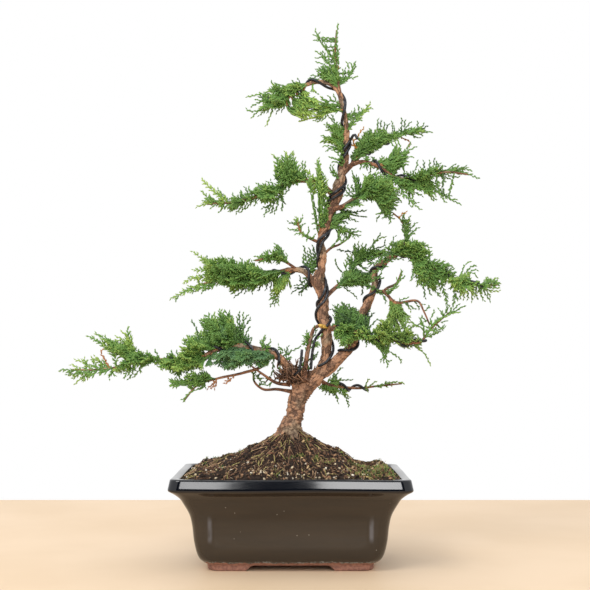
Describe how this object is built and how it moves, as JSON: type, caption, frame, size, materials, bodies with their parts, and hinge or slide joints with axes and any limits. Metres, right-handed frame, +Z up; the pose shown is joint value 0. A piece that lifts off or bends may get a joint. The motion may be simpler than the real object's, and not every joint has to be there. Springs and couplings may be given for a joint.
{
  "type": "itoigawa juniper bonsai in a pot",
  "caption": "Wired informal-upright juniper bonsai with a forked trunk and open sprays of scale foliage, mounded soil, and a rectangular glazed pot on corner feet.",
  "frame": {"origin": "under the middle of the outer box of tree and pot, on the surface that the pot's feet stand on", "axes": "+Z up, +X to the right and -Y towards the viewer when the tree's front is looked at; X also runs along the pot's length"},
  "size_m": [0.3992, 0.158, 0.4931],
  "materials": {
    "glazed_clay": "gloss",
    "soil_mix": "matte",
    "screen_plastic": "matte",
    "bark": "matte",
    "twig_bark": "matte",
    "foliage": "matte",
    "training_wire": "satin"
  },
  "bodies": {
    "root": {"trunk": "bark", "right_leader": "bark", "left_lower_branch": "bark", "left_middle_branch": "bark", "central_stem": "twig_bark", "left_arched_twig": "twig_bark", "left_low_twig": "twig_bark", "left_under_branch": "twig_bark", "left_middle_upper_twig": "twig_bark", "left_sprig_stem": "twig_bark", "left_upper_branch": "twig_bark", "top_shoot": "twig_bark", "right_upper_branch": "twig_bark", "right_upper_front_branch": "twig_bark", "right_inner_branch": "twig_bark", "right_middle_twig": "twig_bark", "right_middle_branch": "twig_bark", "right_outer_twig": "twig_bark", "right_back_twig": "twig_bark", "right_tuft_stem": "twig_bark", "right_lower_branch": "twig_bark", "lowest_right_branch": "twig_bark", "pot": "glazed_clay", "soil": "soil_mix", "drainage_screen_left": "screen_plastic", "drainage_screen_right": "screen_plastic", "leader_wire": "training_wire", "leader_second_wire": "training_wire", "left_lower_wire": "training_wire", "left_middle_wire": "training_wire", "right_leader_wire": "training_wire", "right_lower_wire": "training_wire", "right_upper_wire": "training_wire", "right_upper_front_wire": "training_wire", "lowest_right_wire": "training_wire", "left_lower_foliage": "foliage", "left_lower_tip_foliage": "foliage", "left_under_foliage": "foliage", "left_middle_foliage": "foliage", "left_middle_tip_foliage": "foliage", "left_middle_upper_foliage": "foliage", "left_sprig_foliage": "foliage", "left_upper_foliage": "foliage", "left_upper_tip_foliage": "foliage", "apex_foliage": "foliage", "top_foliage": "foliage", "upper_left_sprig_foliage": "foliage", "upper_right_sprig_foliage": "foliage", "right_upper_foliage": "foliage", "right_upper_front_foliage": "foliage", "right_inner_foliage": "foliage", "right_middle_twig_foliage": "foliage", "right_middle_foliage": "foliage", "right_tuft_foliage": "foliage", "right_leader_foliage": "foliage", "right_outer_foliage": "foliage", "right_lower_foliage": "foliage", "right_lower_fan_foliage": "foliage", "lowest_right_foliage": "foliage"}
  },
  "joints": []
}
